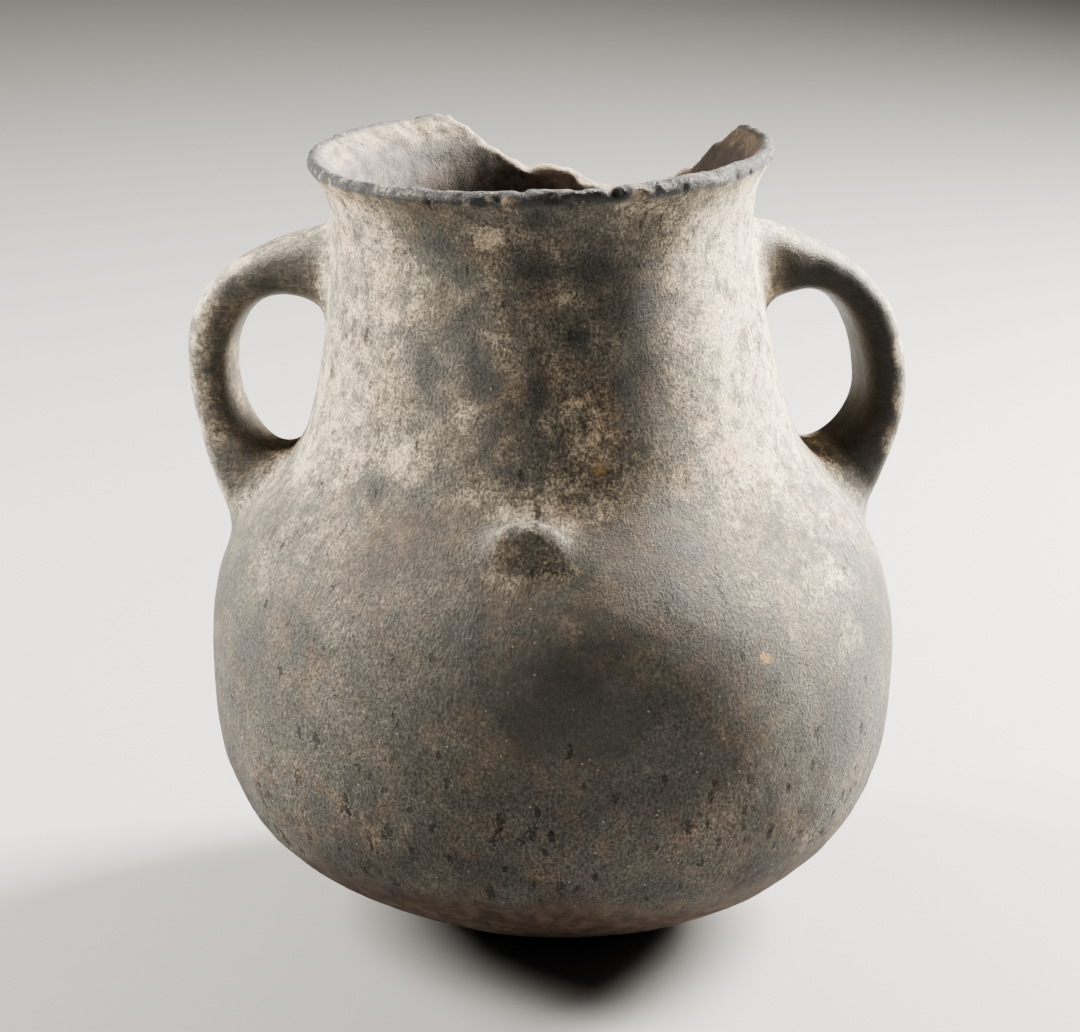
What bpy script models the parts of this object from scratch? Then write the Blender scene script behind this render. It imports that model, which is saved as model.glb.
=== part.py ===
"""Two-handled pottery jar: round body, tall tapering neck, strap handles, a small lug and a broken rim.

Metres, +Z up. The origin is the centre of the flat spot that the jar stands on. The front, with the
lug, looks along -Y, and the handles stand at the sides, a little towards the back.
The whole jar is one body of fired clay, so it is one object.
"""

import math

import bmesh
import bpy
from mathutils import Vector

# Outline of the body: radii from its axis, and the height of each stretch from the ground up
FOOT_RADIUS = 0.028
BELLY_RADIUS = 0.1057
CREASE_RADIUS = 0.0758
NECK_RADIUS = 0.0632
LIP_OVERHANG = 0.0072
UNDERSIDE_RISE = 0.085
SHOULDER_RISE = 0.066
NECK_RISE = 0.066
MOUTH_RISE = 0.0252
LIP_BAND = 0.0042
LIP_TOP_WIDTH = 0.0018

# Levels that follow from these
BELLY_HEIGHT = UNDERSIDE_RISE
CREASE_HEIGHT = BELLY_HEIGHT + SHOULDER_RISE
NECK_HEIGHT = CREASE_HEIGHT + NECK_RISE
RIM_HEIGHT = NECK_HEIGHT + MOUTH_RISE
LIP_RADIUS = NECK_RADIUS + LIP_OVERHANG

# How full each stretch of the outline is: slopes, and reaches as shares of the stretch
FOOT_SLOPE = math.radians(17.4)
FOOT_REACH = 0.69
SIDE_REACH = 0.68
SHOULDER_SWELL = 0.58
SHOULDER_SLOPE = math.radians(55.6)
SHOULDER_REACH = 0.42
NECK_SLOPE = math.radians(60.0)
NECK_REACH = 0.15
THROAT_REACH = 0.08
FLARE_SWELL = 0.62
FLARE_SLOPE = math.radians(42.0)
FLARE_REACH = 0.18
LIP_SLOPE = math.radians(74.0)

# Thickness of the clay
WALL = 0.005
FLOOR = 0.007

# The body was built by hand: its axis wanders sideways, and the rim is lower on the left
BELLY_SHIFT = -0.0030
CREASE_SHIFT = -0.0038
RIM_SHIFT = -0.0070
RIM_TILT = 0.030

# Strap handles: both have the same strap, and each has its own sweep from the neck down to the shoulder
STRAP_WIDTH = 0.0235
STRAP_THICKNESS = 0.0137
STRAP_SQUARENESS = 3.2
ROOT_SPREAD = 1.34
ROOT_DEPTH = 0.012
HANDLES = {
    "left": {
        "turn": math.radians(170.0),
        "beyond_neck": 0.0488,
        "widest_above_crease": 0.019,
        "top_above_neck": -0.0002,
        "inner_top_below_neck": 0.028,
        "end_below_crease": 0.033,
        "inner_end_below_crease": 0.006,
    },
    "right": {
        "turn": math.radians(17.0),
        "beyond_neck": 0.0513,
        "widest_above_crease": 0.011,
        "top_above_neck": 0.0003,
        "inner_top_below_neck": 0.029,
        "end_below_crease": 0.0355,
        "inner_end_below_crease": 0.006,
    },
}

# Sweep of a handle's two edges: slopes, and reaches as shares of the stretch
OUTER_TOP_SLOPE = math.radians(-14.5)
OUTER_TOP_REACH = 0.75
OUTER_RISE_REACH = 0.55
OUTER_DROP_REACH = 0.385
OUTER_END_SLOPE = math.radians(78.0)
OUTER_END_REACH = 0.275
INNER_TOP_SLOPE = math.radians(40.0)
INNER_TOP_REACH = 0.57
INNER_RISE_REACH = 1.15
INNER_DROP_REACH = 0.565
INNER_END_SLOPE = math.radians(-7.0)
INNER_END_REACH = 0.57

# Lug pinched out of the front of the shoulder
LUG_SIDEWAYS = -0.0072
LUG_BELOW_CREASE = 0.0108
LUG_WIDTH = 0.0265
LUG_TALLNESS = 0.019
LUG_PROJECTION = 0.0060
LUG_LIFT = math.radians(33.0)

# Broken rim: corners of the break, as degrees round from the back towards the right, and depth below the rim
BREAK_CORNERS = (
    (-32.0, -0.0030),
    (-28.0, 0.0004),
    (-22.0, 0.0050),
    (-17.0, 0.0090),
    (-13.0, 0.0140),
    (-8.0, 0.0165),
    (-4.0, 0.0190),
    (1.0, 0.0178),
    (5.0, 0.0186),
    (9.5, 0.0196),
    (12.0, 0.0226),
    (17.0, 0.0233),
    (22.5, 0.0250),
    (27.0, 0.0300),
    (31.0, 0.0315),
    (35.5, 0.0215),
    (45.0, 0.0170),
    (54.0, 0.0128),
    (56.5, 0.0085),
    (60.5, 0.0060),
    (63.5, 0.0020),
    (67.0, -0.0030),
)

# Fineness of the faceted surface
AROUND = 60
CAVITY_AROUND = 44
STRETCH_STEPS = {"underside": 10, "shoulder": 7, "neck": 6, "flare": 5, "lip": 3}
STRAP_STEPS = 10
STRAP_SIDES = 16
LUG_SEGMENTS = 20
LUG_RINGS = 12
CUTTER_MARGIN = 0.02
WELD_DISTANCE = 0.00003
SHARP_ANGLE = math.radians(40.0)

CLAY_COLOUR = (0.085, 0.075, 0.065, 1.0)
CLAY_ROUGHNESS = 0.6


# Small helpers

def clear_scene():
    """Remove every object that the new file came with."""
    for item in list(bpy.data.objects):
        bpy.data.objects.remove(item, do_unlink=True)


def smooth_step(value, low, high):
    """Ease from 0 at low to 1 at high."""
    share = min(max((value - low) / (high - low), 0.0), 1.0)
    return share * share * (3.0 - 2.0 * share)


def heading(angle):
    """Unit direction in the plane of the outline, an angle up from straight outwards."""
    return Vector((math.cos(angle), math.sin(angle)))


def cubic(start, start_pull, end_pull, end, steps):
    """Points along a cubic curve, without its start."""
    points = []
    for index in range(1, steps + 1):
        t = index / steps
        s = 1.0 - t
        points.append(s ** 3 * start + 3 * s * s * t * start_pull + 3 * s * t * t * end_pull + t ** 3 * end)
    return points


def add_object(name, bm):
    """Turn a bmesh into an object whose faces point out."""
    bmesh.ops.recalc_face_normals(bm, faces=bm.faces)
    mesh = bpy.data.meshes.new(name)
    bm.to_mesh(mesh)
    bm.free()
    item = bpy.data.objects.new(name, mesh)
    bpy.context.scene.collection.objects.link(item)
    return item


def bridge(bm, rings):
    """Join each ring of vertices to the next with a band of faces."""
    for lower, upper in zip(rings, rings[1:]):
        for index in range(len(lower)):
            after = (index + 1) % len(lower)
            bm.faces.new((lower[index], lower[after], upper[after], upper[index]))


def cap(bm, ring, centre):
    """Close a ring with a fan of triangles."""
    middle = bm.verts.new(centre)
    for index, vertex in enumerate(ring):
        bm.faces.new((vertex, ring[(index + 1) % len(ring)], middle))


# Outline and hand-built shape

def body_outline():
    """The outer outline as (radius, height): the stretch up to the lip, and the rounded lip itself."""
    foot = Vector((FOOT_RADIUS, 0.0))
    belly = Vector((BELLY_RADIUS, BELLY_HEIGHT))
    crease = Vector((CREASE_RADIUS, CREASE_HEIGHT))
    neck = Vector((NECK_RADIUS, NECK_HEIGHT))
    lip = Vector((LIP_RADIUS, RIM_HEIGHT - LIP_BAND))
    crown = Vector((LIP_RADIUS - LIP_TOP_WIDTH, RIM_HEIGHT))
    flare_rise = lip.y - neck.y
    up = Vector((0.0, 1.0))
    out = Vector((1.0, 0.0))
    wall_line = [foot]
    wall_line += cubic(
        foot,
        foot + heading(FOOT_SLOPE) * FOOT_REACH * (BELLY_RADIUS - FOOT_RADIUS),
        belly - up * SIDE_REACH * UNDERSIDE_RISE,
        belly,
        STRETCH_STEPS["underside"],
    )
    wall_line += cubic(
        belly,
        belly + up * SHOULDER_SWELL * SHOULDER_RISE,
        crease + heading(-SHOULDER_SLOPE) * SHOULDER_REACH * SHOULDER_RISE,
        crease,
        STRETCH_STEPS["shoulder"],
    )
    wall_line += cubic(
        crease,
        crease + heading(math.pi - NECK_SLOPE) * NECK_REACH * NECK_RISE,
        neck - up * THROAT_REACH * NECK_RISE,
        neck,
        STRETCH_STEPS["neck"],
    )
    wall_line += cubic(
        neck,
        neck + up * FLARE_SWELL * flare_rise,
        lip - heading(FLARE_SLOPE) * FLARE_REACH * flare_rise,
        lip,
        STRETCH_STEPS["flare"],
    )
    lip_line = cubic(
        lip,
        lip + heading(LIP_SLOPE) * LIP_BAND / 2,
        crown + out * LIP_TOP_WIDTH,
        crown,
        STRETCH_STEPS["lip"],
    )
    return wall_line, lip_line


def radius_at(height):
    """Outer radius of the body at a height, read off the outline."""
    wall_line, lip_line = body_outline()
    points = wall_line + lip_line
    for lower, upper in zip(points, points[1:]):
        if lower.y <= height <= upper.y:
            share = (height - lower.y) / max(upper.y - lower.y, 1e-9)
            return lower.x + share * (upper.x - lower.x)
    return points[0].x if height < points[0].y else points[-1].x


def cavity_outline():
    """The inner outline: the outer one moved in by the clay's thickness, then carried out of the mouth."""
    wall_line, _ = body_outline()
    inner = []
    for index, point in enumerate(wall_line):
        before = wall_line[max(index - 1, 0)]
        after = wall_line[min(index + 1, len(wall_line) - 1)]
        along = (after - before).normalized()
        thickness = FLOOR + (WALL - FLOOR) * smooth_step(point.y, 0.0, BELLY_HEIGHT)
        inner.append(point + Vector((-along.y, along.x)) * thickness)
    leaving = (inner[-1] - inner[-2]).normalized()
    inner.append(inner[-1] + leaving * (RIM_HEIGHT + CUTTER_MARGIN - inner[-1].y) / leaving.y)
    return inner


def hand_built(point):
    """Move a point of the true round body to its place on the jar as it was built."""
    x, y, z = point
    shift = BELLY_SHIFT * smooth_step(z, 0.0, BELLY_HEIGHT / 2)
    shift += (CREASE_SHIFT - BELLY_SHIFT) * smooth_step(z, BELLY_HEIGHT, CREASE_HEIGHT)
    shift += (RIM_SHIFT - CREASE_SHIFT) * smooth_step(z, CREASE_HEIGHT, RIM_HEIGHT)
    lift = RIM_TILT * x * smooth_step(z, NECK_HEIGHT, RIM_HEIGHT)
    return Vector((x + shift, y, z + lift))


def placed(radius, angle, height):
    """Place on the jar as built of a point at a radius, an angle from +X and a height."""
    return hand_built((radius * math.cos(angle), radius * math.sin(angle), height))


def turned(name, outline, around, top_height):
    """Turn an outline round the axis, closed at the foot and across the top."""
    bm = bmesh.new()
    angles = [2 * math.pi * (index + 0.5) / around for index in range(around)]
    rings = []
    for radius, height in outline:
        rings.append([bm.verts.new(placed(radius, angle, height)) for angle in angles])
    bridge(bm, rings)
    bm.faces.new(rings[0])
    cap(bm, rings[-1], hand_built((0.0, 0.0, top_height)))
    return add_object(name, bm)


# Parts of the jar

def make_body():
    """The outside of the body as a full solid; the cavity is cut out of it afterwards."""
    wall_line, lip_line = body_outline()
    return turned("jar", wall_line + lip_line, AROUND, RIM_HEIGHT)


def make_cavity():
    """The space inside the jar, carried up past the rim."""
    return turned("cavity_cutter", cavity_outline(), CAVITY_AROUND, RIM_HEIGHT + CUTTER_MARGIN)


def strap_edge(root, root_pull, reach, rise_pull, drop_pull, end_pull, end, end_sunk):
    """One edge of a handle seen from the side: out of the neck, round, and down into the shoulder."""
    up = Vector((0.0, 1.0))
    edge = [root - Vector((ROOT_DEPTH, 0.0)), root]
    edge += cubic(root, root + root_pull, reach + up * rise_pull, reach, STRAP_STEPS)
    edge += cubic(reach, reach - up * drop_pull, end + end_pull, end, STRAP_STEPS)
    edge.append(end + end_sunk)
    return edge


def on_surface(height):
    """Point of the outer outline at a height."""
    return Vector((radius_at(height), height))


def handle_edges(sweep):
    """Outer and inner edge of a handle as (radius, height), from the neck to the shoulder."""
    outer_root = on_surface(NECK_HEIGHT + sweep["top_above_neck"])
    outer_reach = Vector((NECK_RADIUS + sweep["beyond_neck"], CREASE_HEIGHT + sweep["widest_above_crease"]))
    outer_end = on_surface(CREASE_HEIGHT - sweep["end_below_crease"])
    outer_drop = outer_reach.y - outer_end.y
    outer = strap_edge(
        outer_root,
        heading(OUTER_TOP_SLOPE) * OUTER_TOP_REACH * (outer_reach.x - outer_root.x),
        outer_reach,
        OUTER_RISE_REACH * (outer_root.y - outer_reach.y),
        OUTER_DROP_REACH * outer_drop,
        heading(OUTER_END_SLOPE) * OUTER_END_REACH * outer_drop,
        outer_end,
        Vector((-ROOT_DEPTH, -ROOT_DEPTH / 2)),
    )
    inner_root = on_surface(NECK_HEIGHT - sweep["inner_top_below_neck"])
    inner_reach = outer_reach - Vector((STRAP_THICKNESS, 0.0))
    inner_end = on_surface(CREASE_HEIGHT - sweep["inner_end_below_crease"])
    inner = strap_edge(
        inner_root,
        heading(INNER_TOP_SLOPE) * INNER_TOP_REACH * (inner_reach.x - inner_root.x),
        inner_reach,
        INNER_RISE_REACH * (inner_root.y - inner_reach.y),
        INNER_DROP_REACH * (inner_reach.y - inner_end.y),
        heading(INNER_END_SLOPE) * INNER_END_REACH * (inner_reach.x - inner_end.x),
        inner_end,
        Vector((-ROOT_DEPTH, -ROOT_DEPTH / 2)),
    )
    return outer, inner


def make_handle(name, sweep):
    """A strap handle: rounded sections strung between its two edges, wider at both roots."""
    outer, inner = handle_edges(sweep)
    turn = sweep["turn"]
    outwards = Vector((math.cos(turn), math.sin(turn), 0.0))
    across = Vector((-math.sin(turn), math.cos(turn), 0.0))
    bm = bmesh.new()
    rings = []
    for index, (far, near) in enumerate(zip(outer, inner)):
        middle = (far + near) / 2
        half_depth = (far - near) / 2
        from_middle = abs(2 * index / (len(outer) - 1) - 1)
        half_width = STRAP_WIDTH / 2 * (1 + (ROOT_SPREAD - 1) * from_middle ** 4)
        ring = []
        for side in range(STRAP_SIDES):
            angle = 2 * math.pi * side / STRAP_SIDES
            deep = math.copysign(abs(math.cos(angle)) ** (2 / STRAP_SQUARENESS), math.cos(angle))
            wide = math.copysign(abs(math.sin(angle)) ** (2 / STRAP_SQUARENESS), math.sin(angle))
            flat = middle + half_depth * deep
            point = outwards * flat.x + across * half_width * wide + Vector((0.0, 0.0, flat.y))
            ring.append(bm.verts.new(hand_built(point)))
        rings.append(ring)
    bridge(bm, rings)
    bm.faces.new(rings[0])
    bm.faces.new(rings[-1])
    return add_object(name, bm)


def make_lug():
    """The lug: a flattened knob, lifted a little, half sunk in the front of the shoulder."""
    height = CREASE_HEIGHT - LUG_BELOW_CREASE
    surface_radius = radius_at(height)
    front = -math.sqrt(surface_radius ** 2 - LUG_SIDEWAYS ** 2)
    bm = bmesh.new()
    bmesh.ops.create_uvsphere(bm, u_segments=LUG_SEGMENTS, v_segments=LUG_RINGS, radius=1.0)
    for vertex in bm.verts:
        across = vertex.co.x * LUG_WIDTH / 2
        outwards = vertex.co.z * LUG_PROJECTION
        upwards = vertex.co.y * LUG_TALLNESS / 2 + outwards * math.tan(LUG_LIFT)
        place = Vector((LUG_SIDEWAYS + across, front - outwards, height + upwards))
        vertex.co = hand_built(place)
    return add_object("lug_tool", bm)


def make_break():
    """The missing piece of the rim: a wedge whose lower face follows the corners of the break."""
    near = NECK_RADIUS / 2
    far = LIP_RADIUS + CUTTER_MARGIN
    top = RIM_HEIGHT + CUTTER_MARGIN
    bm = bmesh.new()
    rings = []
    for degrees, depth in BREAK_CORNERS:
        angle = math.radians(90.0 - degrees)
        edge = RIM_HEIGHT - depth
        section = ((near, top), (near, edge), (far, edge), (far, top))
        rings.append([bm.verts.new(placed(radius, angle, height)) for radius, height in section])
    bridge(bm, rings)
    bm.faces.new(rings[0])
    bm.faces.new(rings[-1])
    return add_object("break_cutter", bm)


# Putting the jar together

def combine(item, tool, operation):
    """Join a tool to an object, or cut it away, and keep the tool as a guide."""
    tool.hide_render = True
    tool.display_type = "WIRE"
    step = item.modifiers.new(tool.name, "BOOLEAN")
    step.operation = operation
    step.solver = "EXACT"
    step.object = tool


def clean_seams(item):
    """Merge the near-double points that the joins and cuts leave along their seams."""
    weld = item.modifiers.new("clean_seams", "WELD")
    weld.merge_threshold = WELD_DISTANCE


def clay_material():
    """Dark grey fired clay."""
    material = bpy.data.materials.new("clay")
    material.use_nodes = True
    shader = material.node_tree.nodes["Principled BSDF"]
    shader.inputs["Base Color"].default_value = CLAY_COLOUR
    shader.inputs["Roughness"].default_value = CLAY_ROUGHNESS
    shader.inputs["Metallic"].default_value = 0.0
    return material


def main():
    """Model the jar."""
    clear_scene()
    jar = make_body()
    for name, sweep in HANDLES.items():
        combine(jar, make_handle("handle_tool_" + name, sweep), "UNION")
    combine(jar, make_lug(), "UNION")
    combine(jar, make_cavity(), "DIFFERENCE")
    combine(jar, make_break(), "DIFFERENCE")
    clean_seams(jar)
    jar.data.materials.append(clay_material())
    jar.data.shade_smooth()
    jar.data.set_sharp_from_angle(angle=SHARP_ANGLE)


main()
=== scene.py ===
"""Looks of the two-handled pottery jar: its worn clay surface, a pale floor, soft light and the camera."""

import math

import bmesh
import bpy
import numpy as np
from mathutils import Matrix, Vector


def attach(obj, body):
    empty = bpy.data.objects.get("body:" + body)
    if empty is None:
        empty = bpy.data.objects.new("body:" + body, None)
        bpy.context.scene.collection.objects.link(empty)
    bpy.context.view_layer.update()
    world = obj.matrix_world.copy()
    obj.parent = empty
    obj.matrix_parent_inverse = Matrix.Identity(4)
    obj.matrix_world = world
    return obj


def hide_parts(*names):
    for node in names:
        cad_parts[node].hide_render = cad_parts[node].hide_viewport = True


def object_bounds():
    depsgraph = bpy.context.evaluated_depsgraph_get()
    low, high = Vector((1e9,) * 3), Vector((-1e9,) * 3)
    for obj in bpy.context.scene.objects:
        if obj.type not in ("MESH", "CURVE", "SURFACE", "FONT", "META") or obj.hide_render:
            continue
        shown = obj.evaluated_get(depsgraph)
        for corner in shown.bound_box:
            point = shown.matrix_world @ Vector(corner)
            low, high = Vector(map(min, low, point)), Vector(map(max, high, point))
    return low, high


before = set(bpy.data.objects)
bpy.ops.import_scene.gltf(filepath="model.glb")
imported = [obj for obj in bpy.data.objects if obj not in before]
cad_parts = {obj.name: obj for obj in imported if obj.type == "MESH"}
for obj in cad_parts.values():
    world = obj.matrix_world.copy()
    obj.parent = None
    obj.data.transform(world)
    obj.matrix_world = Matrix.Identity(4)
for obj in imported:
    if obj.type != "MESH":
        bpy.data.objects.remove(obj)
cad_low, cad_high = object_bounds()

# Levels and leanings of the jar, as in the solid, in metres
BELLY_HEIGHT = 0.085
CREASE_HEIGHT = 0.151
NECK_HEIGHT = 0.217
RIM_HEIGHT = 0.2422
LIP_BAND = 0.0042
BELLY_SHIFT = -0.0030
CREASE_SHIFT = -0.0038
RIM_SHIFT = -0.0070
RIM_TILT = 0.030

# Fineness of the surface
VOXEL = 0.0011
WELD = 1e-6
SMOOTH_PASSES = 46
SMOOTH_STEP = 0.7
TRIANGLES = 192000
BOX_MARGIN = 1e-5
SEED = 11

# Camera, fitted to the photograph
CAMERA_PLACE = (-0.007, -1.170, 0.4633)
CAMERA_DOWN = math.radians(16.07)
CAMERA_LENS = 131.7
CAMERA_SENSOR = 36.0
PHOTO_WIDTH = 1080
PHOTO_HEIGHT = 1032


# Numbers on points

def smooth_step(value, low, high):
    """Ease from 0 at low to 1 at high."""
    share = np.clip((value - low) / (high - low), 0.0, 1.0)
    return share * share * (3.0 - 2.0 * share)


def lattice_value(corner, seed):
    """A fixed random number from -1 to 1 for each corner of a lattice."""
    mixed = corner[:, 0] * 374761393 + corner[:, 1] * 668265263 + corner[:, 2] * 2147483647
    mixed = (mixed + seed * 1442695041) & 0xFFFFFFFF
    mixed = ((mixed ^ (mixed >> 13)) * 1274126177) & 0xFFFFFFFF
    mixed = mixed ^ (mixed >> 16)
    return (mixed & 0xFFFFF) / 0x7FFFF - 1.0


def noise(points, size, seed):
    """Smooth noise from -1 to 1 with lumps of about that size."""
    grid = points / size
    corner = np.floor(grid).astype(np.int64)
    share = grid - corner
    share = share * share * (3.0 - 2.0 * share)
    total = np.zeros(len(points))
    for step in np.ndindex(2, 2, 2):
        weight = np.prod(np.where(step, share, 1.0 - share), axis=1)
        total += weight * lattice_value(corner + step, seed)
    return total


def layered(points, size, seed, layers=2):
    """Noise with finer, weaker noise added to it."""
    total = noise(points, size, seed)
    for layer in range(1, layers):
        total = total + noise(points, size / 2 ** layer, seed + layer) / 2 ** layer
    return total


def uneven(points, kind):
    """Noise of a kind that is given by its strength, lump size, seed and layers."""
    strength, size, seed, layers = kind
    return strength * layered(points, size, seed, layers)


def unbuilt(points):
    """Radius, angle and height on the true round body, with the hand-built lean taken out."""
    x, y, z = points.T
    shift = BELLY_SHIFT * smooth_step(z, 0.0, BELLY_HEIGHT / 2)
    shift = shift + (CREASE_SHIFT - BELLY_SHIFT) * smooth_step(z, BELLY_HEIGHT, CREASE_HEIGHT)
    shift = shift + (RIM_SHIFT - CREASE_SHIFT) * smooth_step(z, CREASE_HEIGHT, RIM_HEIGHT)
    x = x - shift
    height = z - RIM_TILT * x * smooth_step(z, NECK_HEIGHT, RIM_HEIGHT)
    return np.hypot(x, y), np.arctan2(y, x), height


# Mesh of the jar

# Sector at the front right with no handle or lug, and step between levels, for the outer line
CLEAR_FROM = math.radians(-65)
CLEAR_TO = math.radians(-35)
LINE_STEP = 0.003

# Ranges over which each part of the jar begins, in metres: depth in the wall, height or distance
INNER_WALL = (0.0020, 0.0036)
INNER_FLOOR = (0.003, 0.005)
PROUD = (0.0010, 0.0045)
HANDLE_SIDE = (0.045, 0.055)
LUG_SIDE = (0.04, 0.06)
LIP_LEVELS = (-LIP_BAND - 0.0012, -LIP_BAND + 0.0002)
LIP_WALL = (0.003, 0.0045)
BREAK_LEVELS = (NECK_HEIGHT - 0.012, NECK_HEIGHT - 0.006)
BREAK_WALL = (-0.002, 0.008)
BREAK_DEPTH = (0.0009, 0.0018)
BREAK_SIDE = (0.0, 0.01)
FACING_UP = (0.35, 0.7)
MOSTLY_INSIDE = 0.1
MOSTLY_LIP = 0.8

# Where smoothing is held back, and how much of it is kept back there
HANDLE_MIDDLE = (0.004, 0.012)
HANDLE_HELD = 0.90
RIM_LEVELS = (RIM_HEIGHT - 0.012, RIM_HEIGHT - 0.006)
TORN_LEVELS = (NECK_HEIGHT - 0.010, NECK_HEIGHT)
TORN_SECTOR = 0.5
RIM_HELD = 0.93

# Levels between which the relief changes
NECK_START = (CREASE_HEIGHT, CREASE_HEIGHT + 0.02)
UNDER_LIP = (NECK_HEIGHT - 0.006, NECK_HEIGHT + 0.008)
LOW_END = (BELLY_HEIGHT * 0.6, BELLY_HEIGHT * 1.05)

# Relief of each kind: height and lump size in metres, seed and layers
WAVES = (0.00045, 0.038, 1, 2)
DENTS = (0.00016, 0.013, 5, 2)
NECK_STROKES = (0.00011, 0.0065, 9, 1)
LIP_STROKES = (0.00009, 0.0026, 12, 1)
LOW_LUMPS = (0.00016, 0.0062, 15, 2)
GRIT = (0.00006, 0.0030, 19, 1)
LIP_DENTS = (0.00042, 0.0058, 21, 2)
CRUMBS = (0.00080, 0.0038, 25, 2)
LUG_LUMPS = (0.00035, 0.0040, 31, 2)
UPRIGHT = (1.0, 1.0, 0.16)
LEVEL = (0.12, 0.12, 1.0)

# Gouges and scratches on the front: place, length, turn from level, width and depth
SCRATCHES = (
    (-0.065, 0.138, 0.010, math.radians(55), 0.0010, 0.00025),
    (-0.060, 0.120, 0.013, math.radians(70), 0.0009, 0.00020),
    (0.043, 0.128, 0.012, math.radians(-50), 0.0010, 0.00020),
    (-0.030, 0.022, 0.022, math.radians(-12), 0.0012, 0.00030),
    (0.028, 0.020, 0.026, math.radians(9), 0.0012, 0.00030),
    (0.052, 0.034, 0.018, math.radians(24), 0.0013, 0.00035),
    (-0.048, 0.170, 0.009, math.radians(62), 0.0009, 0.00015),
)
SCRATCH_CORE = 0.35

# A ring-shaped hollow low on the left: place, ring radius, width and depth
RING_PIT = (-0.056, 0.040, 0.0022, 0.0012, 0.0005)

# Small pits low on the body, in metres
PIT_COUNT = 420
PIT_TOP = BELLY_HEIGHT * 0.95
PIT_LENGTH = (0.0011, 0.0024)
PIT_WIDTH = (0.0008, 0.0012)
PIT_LEAN = (-0.6, 0.6)
PIT_DEPTH = (0.00020, 0.00070)
PIT_REACH = 0.004
PIT_WALL = (0.2, 1.0)

# Chips along the lip, in metres
CHIP_COUNT = 60
CHIP_REACH = (0.0014, 0.0032)
CHIP_DEPTH = (0.0003, 0.0009)
CHIP_CORE = 0.3


def coordinates(mesh):
    """Places of the mesh's vertices."""
    flat = np.empty(len(mesh.vertices) * 3)
    mesh.vertices.foreach_get("co", flat)
    return flat.reshape(-1, 3)


def directions(mesh):
    """Normals of the mesh's vertices."""
    flat = np.empty(len(mesh.vertices) * 3)
    mesh.vertex_normals.foreach_get("vector", flat)
    return flat.reshape(-1, 3)


def move(mesh, points):
    """Put the mesh's vertices at these places."""
    mesh.vertices.foreach_set("co", points.ravel())
    mesh.update()


def apply_modifiers(piece):
    """Make the piece's mesh what its modifiers show."""
    graph = bpy.context.evaluated_depsgraph_get()
    made = bpy.data.meshes.new_from_object(piece.evaluated_get(graph))
    piece.modifiers.clear()
    piece.data = made


def fine_copy(node, name):
    """A copy of the solid with small even faces."""
    mesh = node.data.copy()
    bm = bmesh.new()
    bm.from_mesh(mesh)
    bmesh.ops.remove_doubles(bm, verts=bm.verts, dist=WELD)
    bm.to_mesh(mesh)
    bm.free()
    piece = bpy.data.objects.new(name, mesh)
    bpy.context.scene.collection.objects.link(piece)
    skin = piece.modifiers.new("skin", "REMESH")
    skin.mode = "VOXEL"
    skin.voxel_size = VOXEL
    skin.use_smooth_shade = True
    apply_modifiers(piece)
    return piece


def outer_line(points):
    """Outer radius against height, in the clear sector."""
    radius, angle, height = unbuilt(points)
    clear = (angle > CLEAR_FROM) & (angle < CLEAR_TO)
    levels = np.arange(0.0, RIM_HEIGHT, LINE_STEP)
    radii = []
    for level in levels:
        near = clear & (np.abs(height - level) < LINE_STEP)
        radii.append(radius[near].max())
    return levels, np.array(radii)


def regions(points, normals, line):
    """Where each point lies on the jar, and how far it belongs to each part, from 0 to 1."""
    radius, angle, height = unbuilt(points)
    outer = np.interp(height, *line)
    sunk = outer - radius
    below_rim = RIM_HEIGHT - height
    proud = smooth_step(-sunk, *PROUD)
    at_side = smooth_step(np.abs(points[:, 0]), *HANDLE_SIDE)
    at_break = smooth_step(height, *BREAK_LEVELS) * (sunk > BREAK_WALL[0]) * (sunk < BREAK_WALL[1])
    broken = at_break * smooth_step(below_rim, *BREAK_DEPTH) * smooth_step(points[:, 1], *BREAK_SIDE)
    broken = broken * smooth_step(normals[:, 2], *FACING_UP)
    lip = smooth_step(-below_rim, *LIP_LEVELS) * (1.0 - smooth_step(sunk, *LIP_WALL))
    return {
        "angle": angle,
        "height": height,
        "side": radius * np.cos(angle) / outer,
        "away": -sunk,
        "inside": smooth_step(sunk, *INNER_WALL) * smooth_step(height, *INNER_FLOOR),
        "handle": proud * at_side,
        "lug": proud * smooth_step(-points[:, 1], *LUG_SIDE) * (1.0 - at_side),
        "broken": broken,
        "lip": lip * (1.0 - broken),
    }


def smoothed(mesh, points, softness):
    """Ease the flat facets of the solid into round surfaces, more where softness is higher."""
    edges = np.empty(len(mesh.edges) * 2, np.int32)
    mesh.edges.foreach_get("vertices", edges)
    first, second = edges.reshape(-1, 2).T
    count = len(points)
    neighbours = np.bincount(first, minlength=count) + np.bincount(second, minlength=count)
    points = points.copy()
    for _ in range(SMOOTH_PASSES):
        for axis in range(3):
            values = points[:, axis]
            total = np.bincount(first, values[second], count) + np.bincount(second, values[first], count)
            points[:, axis] = values + softness * (total / neighbours - values)
    return points


def softness_of(region):
    """How much each point is smoothed: walls and handle roots fully, handles less, the rim hardly."""
    far_on_handle = region["handle"] * smooth_step(region["away"], *HANDLE_MIDDLE)
    at_rim = smooth_step(region["height"], *RIM_LEVELS)
    at_break = smooth_step(region["height"], *TORN_LEVELS) * (np.sin(region["angle"]) > TORN_SECTOR)
    held = np.maximum(at_rim, at_break)
    return SMOOTH_STEP * (1.0 - HANDLE_HELD * far_on_handle) * (1.0 - RIM_HELD * held)


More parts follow.
